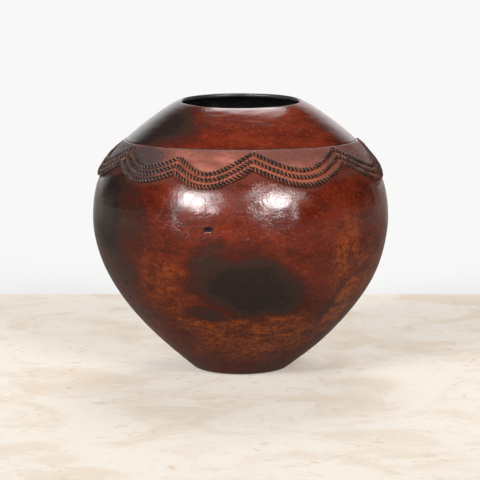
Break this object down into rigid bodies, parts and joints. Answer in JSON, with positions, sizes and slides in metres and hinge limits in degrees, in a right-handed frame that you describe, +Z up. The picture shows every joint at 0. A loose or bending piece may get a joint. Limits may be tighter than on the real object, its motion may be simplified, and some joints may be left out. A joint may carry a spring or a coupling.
{
  "type": "zulu pot",
  "caption": "Round coil-built clay beer pot with a small rounded foot, a burnished wall, a narrow open mouth and festoons of clay rope round the shoulder.",
  "frame": {"origin": "middle of the foot, on the surface that the pot stands on", "axes": "+Z up along the pot's axis; -Y is the front that the picture shows, with the large black fire cloud low in the middle; +X is to the right seen from the front"},
  "size_m": [0.38, 0.38, 0.3483],
  "materials": {
    "burnished_clay": "low-fired clay burnished to a gloss, red-brown with black fire clouds and ochre patches",
    "matt_clay": "smoothed clay left unburnished, lighter orange-red",
    "rope_clay": "clay ropes darkened on their crests by smoke and handling"
  },
  "bodies": {
    "root": {"pot_body": "burnished_clay", "applied_band": "matt_clay", "swag_1_upper_rope": "rope_clay", "swag_1_middle_rope": "rope_clay", "swag_1_lower_rope": "rope_clay", "swag_2_upper_rope": "rope_clay", "swag_2_middle_rope": "rope_clay", "swag_2_lower_rope": "rope_clay", "swag_3_upper_rope": "rope_clay", "swag_3_middle_rope": "rope_clay", "swag_3_lower_rope": "rope_clay", "swag_4_upper_rope": "rope_clay", "swag_4_middle_rope": "rope_clay", "swag_4_lower_rope": "rope_clay", "swag_5_upper_rope": "rope_clay", "swag_5_middle_rope": "rope_clay", "swag_5_lower_rope": "rope_clay", "swag_6_upper_rope": "rope_clay", "swag_6_middle_rope": "rope_clay", "swag_6_lower_rope": "rope_clay", "swag_7_upper_rope": "rope_clay", "swag_7_middle_rope": "rope_clay", "swag_7_lower_rope": "rope_clay", "swag_8_upper_rope": "rope_clay", "swag_8_middle_rope": "rope_clay", "swag_8_lower_rope": "rope_clay", "swag_9_upper_rope": "rope_clay", "swag_9_middle_rope": "rope_clay", "swag_9_lower_rope": "rope_clay"}
  },
  "joints": []
}
